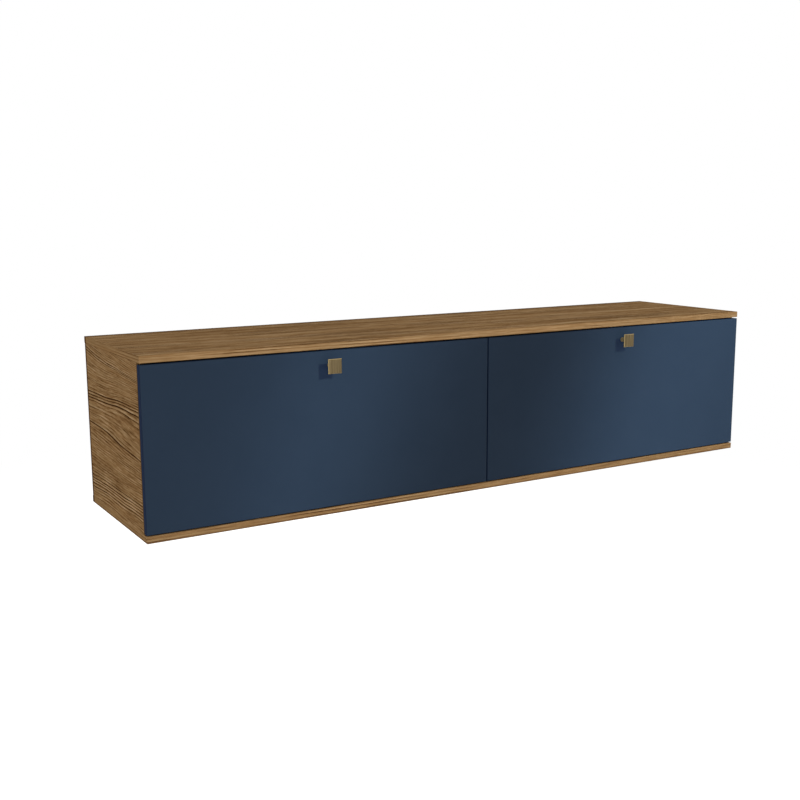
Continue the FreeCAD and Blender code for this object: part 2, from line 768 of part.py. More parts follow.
# Hinges, drawn about the pivot axis
def cup_pattern():
    """Hinge cup, open to the back of the door, with two wings and a cross bore for the pin."""
    body = new_body("hinge_cup_pattern")
    profile = sketch_on(body, "XY_Plane", "places.cup_centre")
    floor = "places.back_face - sizes.cup_depth + sizes.cup_play"
    top = "places.back_face + sizes.flange_thickness"
    draw_polygon(
        profile,
        (
            ("0", floor),
            ("places.cup_outer", floor),
            ("places.cup_outer", "places.back_face"),
            ("sizes.cup_radius + sizes.flange_lip", "places.back_face"),
            ("sizes.cup_radius + sizes.flange_lip", top),
            ("0", top),
        ),
    )
    revolve(body, profile, "V_Axis")
    wings = sketch_on(body, "XZ_Plane", "-places.back_face")
    draw_rectangle(
        wings,
        "-sizes.wing_length / 2",
        "sizes.wing_length / 2",
        "places.cup_screw_height - sizes.wing_height / 2",
        "places.cup_screw_height + sizes.wing_height / 2",
    )
    pad(body, wings, "sizes.flange_thickness", True)
    depth = "sizes.cup_depth - sizes.cup_play - sizes.cup_wall + sizes.flange_thickness"
    cavity = sketch_on(body, "XZ_Plane", f"-({top})")
    draw_bow(cavity, "places.cup_centre", "places.cup_outer - sizes.cup_wall", "sizes.eye_radius")
    pocket(body, cavity, depth, True)
    half = "(sizes.arm_width / 2 + sizes.arm_play)"
    throat = sketch_on(body, "XZ_Plane", f"-({top})")
    draw_rectangle(throat, f"-{half}", half, "-(sizes.eye_radius + sizes.arm_play)", "sizes.eye_radius * 2")
    pocket(body, throat, depth, True)
    screws = [
        (f"{step} * sizes.wing_screw_spacing / 2", "places.cup_screw_height", "places.screw_hole")
        for step in (-1, 1)
    ]
    drill(body, "XZ_Plane", f"-({top})", screws, "sizes.flange_thickness", True)
    bore = sketch_on(body, "YZ_Plane")
    draw_circle(bore, "0", "0", "sizes.pin_radius + sizes.pin_play")
    pocket(body, bore, "sizes.cup_radius * 2", middle=True)
    return body


def arm_pattern():
    """Gooseneck strip: eye on the pin, up out of the cup, over the door's edge and down to its foot."""
    body = new_body("hinge_arm_pattern")
    half = "sizes.arm_thickness / 2"
    strip = sketch_on(body, "YZ_Plane", "-sizes.arm_width / 2")
    draw_polygon(
        strip,
        (
            (f"-{half}", "0"),
            (f"-{half}", f"sizes.arm_rise + {half}"),
            (f"sizes.arm_reach + {half}", f"sizes.arm_rise + {half}"),
            (f"sizes.arm_reach + {half}", "places.foot_top"),
            (f"sizes.arm_reach + sizes.foot_length", "places.foot_top"),
            (f"sizes.arm_reach + sizes.foot_length", "places.plate_top"),
            (f"sizes.arm_reach - {half}", "places.plate_top"),
            (f"sizes.arm_reach - {half}", f"sizes.arm_rise - {half}"),
            (half, f"sizes.arm_rise - {half}"),
            (half, "0"),
        ),
    )
    bent = pad(body, strip, "sizes.arm_width")
    outer_corners = (
        (-value(half), value(f"sizes.arm_rise + {half}")),
        (value(f"sizes.arm_reach + {half}"), value(f"sizes.arm_rise + {half}")),
    )

    def at_bend(point):
        return any(near(point.y, back) and near(point.z, up) for back, up in outer_corners)

    round_edges(body, bent, at_bend, "sizes.arm_bend")
    eye = sketch_on(body, "YZ_Plane", "-sizes.arm_width / 2")
    draw_circle(eye, "0", "0", "sizes.eye_radius")
    pad(body, eye, "sizes.arm_width")
    foot = sketch_on(body, "XY_Plane", "places.plate_top")
    draw_rectangle(
        foot,
        "-sizes.foot_width / 2",
        "sizes.foot_width / 2",
        "sizes.arm_reach + sizes.arm_thickness * 2",
        "sizes.arm_reach + sizes.foot_length",
    )
    pad(body, foot, "sizes.arm_thickness")
    screw_hole = [("0", "places.arm_screw_back", "places.screw_hole")]
    drill(body, "XY_Plane", "places.foot_top", screw_hole, "sizes.arm_thickness")
    bore = sketch_on(body, "YZ_Plane")
    draw_circle(bore, "0", "0", "sizes.pin_radius + sizes.pin_play")
    pocket(body, bore, "sizes.arm_width * 2", middle=True)
    return body


def plate_pattern():
    """Mounting plate under the arm's foot, screwed to the bottom panel."""
    body = new_body("hinge_plate_pattern")
    outline = sketch_on(body, "XY_Plane", "places.plate_bottom")
    rear = "places.plate_front + sizes.plate_length"
    draw_rectangle(outline, "-sizes.plate_width / 2", "sizes.plate_width / 2", "places.plate_front", rear)
    slab = pad(body, outline, "sizes.plate_thickness")
    half = value("sizes.plate_width / 2")
    ends = (value("places.plate_front"), value(rear))

    def at_corner(point):
        return near(abs(point.x), half) and (near(point.y, ends[0]) or near(point.y, ends[1]))

    round_edges(body, slab, at_corner, "sizes.plate_round")
    holes = [
        (f"{step} * sizes.plate_screw_spacing / 2", "places.plate_screw_back", "places.screw_hole")
        for step in (-1, 1)
    ]
    holes.append(("0", "places.arm_screw_back", "places.screw_hole"))
    drill(body, "XY_Plane", "places.plate_top", holes, "sizes.plate_thickness")
    return body


def hinges(screw):
    cup = cup_pattern()
    arm = arm_pattern()
    plate = plate_pattern()
    pin = turned_pattern(
        "hinge_pin_pattern",
        (
            ("0", "-sizes.pin_length / 2"),
            ("sizes.pin_radius", "-sizes.pin_length / 2"),
            ("sizes.pin_radius", "sizes.pin_length / 2"),
            ("0", "sizes.pin_length / 2"),
        ),
    )
    plate_screws = []
    for label, middle in hinge_middles():
        spot = (middle, "places.pivot_back", "places.pivot_height")
        keep_copy(f"{label}_cup", cup, spot)
        keep_copy(f"{label}_arm", arm, spot)
        keep_copy(f"{label}_plate", plate, spot)
        for step in (-1, 1):
            across = f"{middle} + {step} * sizes.plate_screw_spacing / 2"
            back = "places.pivot_back + places.plate_screw_back"
            plate_screws.append(((across, back, "places.pivot_height + places.plate_top"), UP))
        back = "places.pivot_back + places.arm_screw_back"
        plate_screws.append(((middle, back, "places.pivot_height + places.foot_top"), UP))
    keep_group("hinge_plate_screws", screw, plate_screws)
    for side, sign in SIDES:
        middles = [middle for label, middle in hinge_middles() if label.startswith(side)]
        pins = [((middle, "places.pivot_back", "places.pivot_height"), RIGHT) for middle in middles]
        keep_group(f"{side}_hinge_pins", pin, pins)
        keep_group(f"{side}_hinge_cup_screws", screw, [(spot, BACK) for spot in cup_screw_spots(middles)])


def cup_screw_spots(middles):
    back = "places.door_back + sizes.flange_thickness"
    height = "places.pivot_height + places.cup_screw_height"
    return [
        (f"{middle} + {step} * sizes.wing_screw_spacing / 2", back, height)
        for middle in middles
        for step in (-1, 1)
    ]


# Doors
def door(side, sign):
    """Lacquered flap door with bores for its hinge cups, screws and knob."""
    label = f"{side}_door"
    body = new_body(label)
    sketch = sketch_on(body, "XZ_Plane", "-places.door_back")
    inner = signed(sign, "places.door_inner")
    outer = signed(sign, "places.half_width")
    draw_rectangle(sketch, inner, outer, "places.door_bottom", "places.door_top")
    slab = pad(body, sketch, "sizes.door_thickness")
    front = -value("sizes.unit_depth")
    round_edges(body, slab, lambda point: near(point.y, front), "sizes.door_round")
    middles = [middle for name, middle in hinge_middles() if name.startswith(side)]
    height = "places.pivot_height + places.cup_centre"
    cups = [(middle, height, "sizes.cup_radius") for middle in middles]
    drill(body, "XZ_Plane", "-places.door_back", cups, "sizes.cup_depth", True)
    pilots = [(x, z, "places.screw_hole") for x, _, z in cup_screw_spots(middles)]
    pilots += [(x, z, "places.screw_hole") for x, z in bracket_screw_spots(sign)]
    pilots += [(x, z, "places.screw_hole") for x, z in strike_screw_spots(sign)]
    drill(body, "XZ_Plane", "-places.door_back", pilots, "sizes.pilot_depth", True)
    middle = f"{sign} * places.door_middle"
    knob_hole = [(middle, "places.knob_height", "sizes.knob_screw_radius + sizes.hole_play")]
    drill(body, "XZ_Plane", "-places.door_back", knob_hole, "sizes.door_thickness", True)
    keep(body, label)


def knob_pattern():
    """Square plate on a round neck, drawn about its screw axis with the door's face at Y = 0."""
    body = new_body("knob_pattern")
    half = "sizes.knob_side / 2"
    face = sketch_on(body, "XZ_Plane", "sizes.knob_projection - sizes.knob_plate")
    draw_rectangle(face, f"-{half}", half, f"-{half}", half)
    plate = pad(body, face, "sizes.knob_plate")
    front = -value("sizes.knob_projection")
    bevel_edges(body, plate, lambda point: near(point.y, front), "sizes.knob_bevel")
    neck = sketch_on(body, "XZ_Plane")
    draw_circle(neck, "0", "0", "sizes.neck_radius")
    pad(body, neck, "sizes.knob_projection - sizes.knob_plate")
    thread = [("0", "0", "sizes.knob_screw_radius + sizes.hole_play")]
    drill(body, "XZ_Plane", "0", thread, "sizes.knob_thread_depth + sizes.hole_play", True)
    return body


def knobs():
    knob = knob_pattern()
    shank = "sizes.door_thickness + sizes.knob_thread_depth"
    bolt = turned_pattern(
        "knob_screw_pattern",
        (
            ("0", f"-({shank})"),
            ("sizes.knob_screw_radius", f"-({shank})"),
            ("sizes.knob_screw_radius", "0"),
            ("sizes.knob_head_radius", "0"),
            ("sizes.knob_head_radius", "sizes.knob_head_height / 2"),
            ("sizes.knob_head_radius / 2", "sizes.knob_head_height"),
            ("0", "sizes.knob_head_height"),
        ),
    )
    for side, sign in SIDES:
        middle = f"{sign} * places.door_middle"
        keep_copy(f"{side}_knob", knob, (middle, "-sizes.unit_depth", "places.knob_height"))
        keep_copy(f"{side}_knob_screw", bolt, (middle, "places.door_back", "places.knob_height"), BACK)


# Stays, drawn about the bar's rivet with the upright's face at X = 0
def bracket_pattern():
    """Angle bracket on the door's back, with a round-ended lug for the rivet."""
    body = new_body("stay_bracket_pattern")
    lug = sketch_on(body, "YZ_Plane", "places.lug_in")
    draw_rectangle(lug, "-sizes.stay_standoff", "0", "-sizes.lug_radius", "sizes.lug_radius")
    pad(body, lug, "sizes.lug_thickness")
    tip = sketch_on(body, "YZ_Plane", "places.lug_in")
    draw_circle(tip, "0", "0", "sizes.lug_radius")
    pad(body, tip, "sizes.lug_thickness")
    base = sketch_on(body, "XZ_Plane", "sizes.stay_standoff")
    half = "sizes.bracket_height / 2"
    draw_rectangle(base, "places.lug_in", "places.lug_in + sizes.bracket_width", f"-{half}", half)
    for step in (-1, 1):
        draw_circle(
            base, "places.bracket_screw_in", f"{step} * sizes.bracket_screw_spacing / 2", "places.screw_hole"
        )
    pad(body, base, "sizes.bracket_thickness", True)
    hole = [("0", "0", "sizes.rivet_radius + sizes.rivet_play")]
    drill(body, "YZ_Plane", "places.lug_out", hole, "sizes.lug_thickness")
    return body


def bracket_screw_spots(sign):
    """(x, z) of the bracket screws in one door."""
    spots = []
    for face, turn in upright_faces(sign):
        across = stepped_in(face, turn, "places.bracket_screw_in")
        for step in (-1, 1):
            spots.append((across, f"places.stay_height + {step} * sizes.bracket_screw_spacing / 2"))
    return spots


def bar_pattern():
    """Slotted bar along Z, with its rivet hole at the origin and its slot above."""
    body = new_body("stay_bar_pattern")
    outline = sketch_on(body, "YZ_Plane")
    half = "sizes.bar_width / 2"
    draw_rectangle(outline, f"-{half}", half, "0", "places.reach_open")
    pad(body, outline, "sizes.bar_thickness")
    for end, radius in (("0", half), ("places.reach_open", half)):
        cap = sketch_on(body, "YZ_Plane")
        draw_circle(cap, "0", end, radius)
        pad(body, cap, "sizes.bar_thickness")
    slot_half = "(sizes.guide_radius + sizes.slot_play)"
    slot = sketch_on(body, "YZ_Plane", "sizes.bar_thickness")
    draw_rectangle(slot, f"-{slot_half}", slot_half, "places.reach_shut", "places.reach_open")
    pocket(body, slot, "sizes.bar_thickness")
    ends = [("0", "places.reach_shut", slot_half), ("0", "places.reach_open", slot_half)]
    for hole in ends + [("0", "0", "sizes.rivet_radius + sizes.rivet_play")]:
        drill(body, "YZ_Plane", "sizes.bar_thickness", [hole], "sizes.bar_thickness")
    return body


def stays(screw):
    bracket = bracket_pattern()
    bar = bar_pattern()
    rivet_start = "sizes.stay_from_side - sizes.stay_play"
    rivet = turned_pattern(
        "stay_rivet_pattern",
        (
            ("0", f"{rivet_start} - sizes.rivet_head"),
            ("sizes.rivet_head_radius", f"{rivet_start} - sizes.rivet_head"),
            ("sizes.rivet_head_radius", rivet_start),
            ("sizes.rivet_radius", rivet_start),
            ("sizes.rivet_radius", "places.lug_out"),
            ("sizes.rivet_head_radius", "places.lug_out"),
            ("sizes.rivet_head_radius", "places.lug_out + sizes.rivet_head"),
            ("0", "places.lug_out + sizes.rivet_head"),
        ),
    )
    guide_end = "places.lug_in + sizes.guide_head"
    guide = turned_pattern(
        "stay_guide_pattern",
        (
            ("0", "-sizes.face_depth"),
            ("sizes.bolt_radius", "-sizes.face_depth"),
            ("sizes.bolt_radius", "0"),
            ("sizes.guide_flange_radius", "0"),
            ("sizes.guide_flange_radius", "sizes.guide_flange"),
            ("sizes.guide_shoulder_radius", "sizes.guide_flange"),
            ("sizes.guide_shoulder_radius", rivet_start),
            ("sizes.guide_radius", rivet_start),
            ("sizes.guide_radius", "places.lug_in"),
            ("sizes.guide_head_radius", "places.lug_in"),
            ("sizes.guide_head_radius", guide_end),
            ("0", guide_end),
        ),
    )
    for side, sign in SIDES:
        faces = upright_faces(sign)
        pivots = [((face, "places.stay_back", "places.stay_height"), turn) for face, turn in faces]
        keep_group(f"{side}_stay_brackets", bracket, pivots)
        axles = [(spot, RIGHT if turn is UP else LEFT) for spot, turn in pivots]
        keep_group(f"{side}_stay_rivets", rivet, axles)
        studs = [
            ((face, "places.guide_back", "places.guide_height"), RIGHT if turn is UP else LEFT)
            for face, turn in faces
        ]
        keep_group(f"{side}_stay_guides", guide, studs)
        keep_stay_bars(side, bar, faces)
        seat = "places.door_back + sizes.bracket_thickness"
        screws = [((x, seat, z), BACK) for x, z in bracket_screw_spots(sign)]
        keep_group(f"{side}_stay_bracket_screws", screw, screws)


def keep_stay_bars(side, bar, faces):
    """The two bars of one door, each turned down from upright to lie on its guide stud."""
    tilt = "90 deg + atan(places.shut_drop / places.shut_run)"
    copies = []
    for number, (face, turn) in enumerate(faces, start=1):
        near_face = "sizes.stay_from_side" if turn is UP else "places.bar_outer"
        spot = (stepped_in(face, turn, near_face), "places.stay_back", "places.stay_height")
        copy = place_copy(f"{side}_stay_bar_{number}", bar, spot)
        copy.Placement.Rotation = FreeCAD.Rotation(FreeCAD.Vector(-1, 0, 0), 90)
        copy.setExpression("Placement.Rotation.Angle", tilt)
        copies.append(copy)
    group = doc.addObject("Part::Compound", f"{side}_stay_bars")
    group.Links = copies
    keep(group, f"{side}_stay_bars")


# Magnetic catches, strike plates and bumpers
def catch(side, sign, screw_holes):
    """Catch housing under the top panel: a block with two screw ears and two pole slots."""
    label = f"{side}_catch"
    body = new_body(label)
    middle = f"{sign} * places.door_middle"
    ears = sketch_on(body, "XY_Plane", "places.carcass_top")
    half = "sizes.catch_length / 2"
    draw_rectangle(
        ears, f"{middle} - {half}", f"{middle} + {half}", "places.catch_front", "places.catch_back"
    )
    for across, back, radius in screw_holes:
        draw_circle(ears, across, back, radius)
    pad(body, ears, "sizes.catch_ear", True)
    block = sketch_on(body, "XY_Plane", "places.carcass_top - sizes.catch_ear")
    half = "sizes.catch_block / 2"
    draw_rectangle(
        block, f"{middle} - {half}", f"{middle} + {half}", "places.catch_front", "places.catch_back"
    )
    pad(body, block, "sizes.catch_height - sizes.catch_ear", True)
    slots = sketch_on(body, "XZ_Plane", "-places.catch_front")
    half = "(sizes.pole_length / 2 + sizes.hole_play)"
    thick = "(sizes.pole_thickness / 2 + sizes.hole_play)"
    for step in (-1, 1):
        height = f"places.pole_height + {step} * sizes.pole_spacing / 2"
        low = f"{height} - {thick}"
        draw_rectangle(slots, f"{middle} - {half}", f"{middle} + {half}", low, f"{height} + {thick}")
    pocket(body, slots, "sizes.pole_depth - sizes.pole_proud + sizes.hole_play")
    keep(body, label)


def pole_pattern():
    """Steel pole plate, with its front edge at the origin."""
    plate = doc.addObject("Part::Box", "pole_pattern")
    plate.setExpression("Length", "sizes.pole_length")
    plate.setExpression("Width", "sizes.pole_depth")
    plate.setExpression("Height", "sizes.pole_thickness")
    plate.setExpression("Placement.Base.x", "-sizes.pole_length / 2")
    plate.setExpression("Placement.Base.z", "-sizes.pole_thickness / 2")
    return plate


def strike_screw_spots(sign):
    """(x, z) of the strike plate's screws in one door."""
    return [
        (f"{sign} * places.door_middle + {step} * sizes.strike_screw_spacing / 2", "places.pole_height")
        for step in (-1, 1)
    ]


def catches(screw):
    pole = pole_pattern()
    strike = new_body("strike_pattern")
    outline = sketch_on(strike, "XZ_Plane")
    half = "sizes.strike_length / 2"
    draw_rectangle(outline, f"-{half}", half, "-sizes.strike_height / 2", "sizes.strike_height / 2")
    for step in (-1, 1):
        draw_circle(outline, f"{step} * sizes.strike_screw_spacing / 2", "0", "places.screw_hole")
    pad(strike, outline, "sizes.strike_thickness", True)
    poles = []
    screws = []
    for side, sign in SIDES:
        middle = f"{sign} * places.door_middle"
        holes = [
            (f"{middle} + {step} * sizes.catch_screw_spacing / 2", "places.catch_middle", "places.screw_hole")
            for step in (-1, 1)
        ]
        catch(side, sign, holes)
        for step in (-1, 1):
            height = f"places.pole_height + {step} * sizes.pole_spacing / 2"
            poles.append(((middle, "places.pole_front", height), UP))
        screws += [((x, y, "places.carcass_top - sizes.catch_ear"), DOWN) for x, y, _ in holes]
        keep_copy(f"{side}_strike_plate", strike, (middle, "places.door_back", "places.pole_height"))
        spots = [((x, "places.strike_face", z), BACK) for x, z in strike_screw_spots(sign)]
        keep_group(f"{side}_strike_screws", screw, spots)
    keep_group("catch_pole_plates", pole, poles)
    keep_group("catch_screws", screw, screws)


def bumpers():
    """Soft pads on the doors' backs that meet the uprights' front edges."""
    pattern = turned_pattern(
        "bumper_pattern",
        (
            ("0", "0"),
            ("sizes.bumper_radius", "0"),
            ("sizes.bumper_radius", "places.bumper_height / 2"),
            ("sizes.bumper_radius * 0.6", "places.bumper_height"),
            ("0", "places.bumper_height"),
        ),
    )
    for side, sign in SIDES:
        spots = [
            ((f"{sign} * {across}", "places.door_back", "places.bumper_top"), BACK)
            for across in ("places.side_middle", "places.divider_bumper")
        ]
        keep_group(f"{side}_bumpers", pattern, spots)


# The whole cabinet
top_panel()
bottom_panel()
uprights()
back_panel()
for bay_side, bay_sign in SIDES:
    hanging_rail(bay_side, bay_sign)
carcass_fittings()
back_screws()
wood_screw = screw_pattern()
hinges(wood_screw)
for bay_side, bay_sign in SIDES:
    door(bay_side, bay_sign)
knobs()
stays(wood_screw)
catches(wood_screw)
bumpers()
doc.recompute()

# Checks and files
for item in doc.Objects:
    if "Invalid" in item.State or "Error" in item.State:
        raise RuntimeError(f"{item.Name} did not build")
os.makedirs("parts", exist_ok=True)
for node in nodes:
    shape = node.Shape
    if shape.isNull() or not shape.isValid() or not shape.Solids:
        raise RuntimeError(f"{node.Label} has no valid solid")
    shape.exportStep(f"parts/{node.Label}.step")
    print(f"{node.Label}: {len(shape.Solids)} solids, {shape.Volume / 1000:.2f} cm3")
print(f"{len(nodes)} nodes")
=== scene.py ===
"""Looks of the wall-hung cabinet with two drop-down doors: finishes, stage, lights and camera."""
import json
import math

import bpy
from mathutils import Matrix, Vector

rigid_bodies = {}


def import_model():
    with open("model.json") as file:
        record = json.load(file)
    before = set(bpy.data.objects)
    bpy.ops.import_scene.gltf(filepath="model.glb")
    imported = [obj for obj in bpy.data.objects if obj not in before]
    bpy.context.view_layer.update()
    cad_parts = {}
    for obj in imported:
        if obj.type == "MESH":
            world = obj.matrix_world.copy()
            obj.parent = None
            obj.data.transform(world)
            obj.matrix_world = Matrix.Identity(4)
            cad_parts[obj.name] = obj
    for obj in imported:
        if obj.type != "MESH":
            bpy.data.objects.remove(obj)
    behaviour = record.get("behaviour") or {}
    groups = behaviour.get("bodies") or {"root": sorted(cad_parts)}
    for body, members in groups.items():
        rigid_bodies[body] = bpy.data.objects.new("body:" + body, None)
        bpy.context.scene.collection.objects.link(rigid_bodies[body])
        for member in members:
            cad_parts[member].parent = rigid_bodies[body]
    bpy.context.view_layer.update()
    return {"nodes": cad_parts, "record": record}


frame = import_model()


def tone(red, green, blue):
    """A colour written as the 0 to 255 values of a screen, as linear light."""
    def linear(level):
        level /= 255
        return level / 12.92 if level <= 0.04045 else ((level + 0.055) / 1.055) ** 2.4

    return linear(red), linear(green), linear(blue), 1.0


def blank_material(name):
    material = bpy.data.materials.new(name)
    material.use_nodes = True
    return material


# Nodes

# The Mix node has sockets for each kind of value: these take the share, the first and the second
MIX_NUMBERS = (0, 2, 3)
MIX_COLOURS = (0, 6, 7)
MIXED_NUMBER = 0
MIXED_COLOUR = 2


class Graph:
    """Adds nodes to one node tree in short calls. An input is a value or another node's output."""

    def __init__(self, tree):
        self.tree = tree
        tree.nodes.clear()

    def node(self, kind, inputs=None, **settings):
        node = self.tree.nodes.new("ShaderNode" + kind)
        for name, setting in settings.items():
            setattr(node, name, setting)
        for socket, given in (inputs or {}).items():
            self.feed(node.inputs[socket], given)
        return node

    def feed(self, socket, given):
        if isinstance(given, bpy.types.NodeSocket):
            self.tree.links.new(given, socket)
        else:
            socket.default_value = given

    def math(self, operation, first, second=0.0, third=0.0):
        return self.node("Math", {0: first, 1: second, 2: third}, operation=operation).outputs[0]

    def add(self, first, second):
        return self.math("ADD", first, second)

    def times(self, first, second):
        return self.math("MULTIPLY", first, second)

    def absolute(self, value):
        return self.math("ABSOLUTE", value)

    def larger(self, first, second):
        return self.math("MAXIMUM", first, second)

    def span(self, value, low, high, to_low=0.0, to_high=1.0, smooth=True):
        """Carries a value between low and high over to another range, and holds it at the ends."""
        inputs = {"Value": value, "From Min": low, "From Max": high, "To Min": to_low, "To Max": to_high}
        kind = "SMOOTHSTEP" if smooth else "LINEAR"
        return self.node("MapRange", inputs, interpolation_type=kind).outputs[0]

    def mix(self, share, first, second, way="MIX"):
        """A colour between first and second."""
        inputs = dict(zip(MIX_COLOURS, (share, first, second)))
        return self.node("Mix", inputs, data_type="RGBA", blend_type=way).outputs[MIXED_COLOUR]

    def between(self, share, first, second):
        """A number between first and second."""
        inputs = dict(zip(MIX_NUMBERS, (share, first, second)))
        return self.node("Mix", inputs, data_type="FLOAT").outputs[MIXED_NUMBER]

    def ramp(self, value, stops, interpolation="LINEAR"):
        """Colours or levels along value: stops are (place, colour or level)."""
        node = self.node("ValToRGB", {0: value})
        node.color_ramp.interpolation = interpolation
        elements = node.color_ramp.elements
        while len(elements) < len(stops):
            elements.new(0.5)
        for element, (place, colour) in zip(elements, stops):
            element.position = place
            element.color = colour if isinstance(colour, tuple) else (colour, colour, colour, 1.0)
        return node.outputs[0]

    def axes(self, vector):
        node = self.node("SeparateXYZ", {0: vector})
        return dict(zip("XYZ", node.outputs))

    def vector(self, x, y, z):
        return self.node("CombineXYZ", {0: x, 1: y, 2: z}).outputs[0]

    def stretch(self, vector, scale):
        return self.node("VectorMath", {0: vector, 1: scale}, operation="MULTIPLY").outputs[0]

    def noise(self, vector, detail, roughness=0.5, scale=1.0):
        inputs = {"Vector": vector, "Scale": scale, "Detail": detail, "Roughness": roughness}
        return self.node("TexNoise", inputs).outputs[0]


class Finish(Graph):
    """A material with one Principled shader, in the object's own metres."""

    def __init__(self, name):
        self.material = blank_material(name)
        super().__init__(self.material.node_tree)
        self.shader = self.node("BsdfPrincipled")
        self.node("OutputMaterial", {"Surface": self.shader.outputs[0]})
        coordinates = self.node("TexCoord").outputs
        self.place = coordinates["Object"]
        self.normal = coordinates["Normal"]

    def set(self, socket, given):
        self.feed(self.shader.inputs[socket], given)

    def roughen(self, texture, at_low, at_high, low=0.3, high=0.7):
        """Roughness that goes from at_low to at_high where the texture goes from low to high."""
        self.set("Roughness", self.span(texture, low, high, at_low, at_high))

    def bump(self, height, depth):
        """Relief that is depth metres deep where height goes from 0 to 1."""
        inputs = {"Strength": 1.0, "Distance": depth, "Height": height}
        self.set("Normal", self.node("Bump", inputs).outputs[0])


# Wood veneer

VENEER_TONES = (
    (0.0, tone(58, 35, 18)),
    (0.25, tone(104, 73, 44)),
    (0.45, tone(140, 107, 70)),
    (0.6, tone(157, 124, 84)),
    (0.8, tone(178, 146, 106)),
    (1.0, tone(200, 170, 131)),
)
WARM_TINT = (1.0, 0.91, 0.82, 1.0)
WARM_MOST = 0.5
NOISE_MIDDLE = 0.5
VENEER_RELIEF = 0.00012

# The least part of a normal on an axis that a surface faces
FACING = 0.7

# Bends of the grain: where in the noise, what is left of them on edges, and how far up a lean reaches
DRIFT_SHIFT = 0.0
WOBBLE_SHIFT = 3.0
EDGE_BEND = 0.05
LEAN_REACH = 0.412

# Streaks: per metre across the grain, per metre along it, where in the noise, detail
STREAK_ROUGHNESS = 0.55
WIDE = (28.0, 1.3, 5.0, 1.0)
FIBRE = (1500.0, 40.0, 11.0, 2.0)
PORES = (2400.0, 90.0, 13.0, 1.0)
PORES_SHARE = -0.14
WARM_PATCHES = (70.0, 3.0, 19.0, 2.0)

# Streaks between wide and fibre, each with its share in the level
MIDDLE_LAYERS = (
    ((105.0, 2.6, 7.0, 2.0), 0.24),
    ((320.0, 11.0, 9.0, 2.0), 1.3),
    ((300.0, 36.0, 21.0, 1.0), 0.45),
)
FIBRE_SHARE = 0.4

# Annual rings: each darkens slowly and ends in a thin dark line, most of all in patches and bands
RINGS_PER_METRE = 140.0
RING_BENDS = (60.0, 2.0, 15.0, 1.0)
RING_BEND = 0.8
RING_SHARPNESS = 2.5
RING_MEAN = 0.17
RING_SHARE = -1.3
RING_LEAST = 0.2
RING_PATCHES = (19.0, 2.4, 17.0, 1.0)
PATCHES_BESIDE_BANDS = 0.3
BAND_CORE = 0.35

# Edges and ends of a board: how much they keep to one level, and which
EDGE_CALM = 0.42
END_CALM = 0.65
EDGE_BASE = 0.61
END_BASE = 0.6

# Painted shade: dark arrises at the wall and under the bottom panel, where shade falls
ARRIS_SHADE = tone(78, 46, 18)
WALL_SHADE = (-0.016, -0.01)
WALL_SHADE_SHARE = 0.85
FOOT_SHADE = (0.004, 0.001)
FOOT_SHADE_SHARE = 0.5


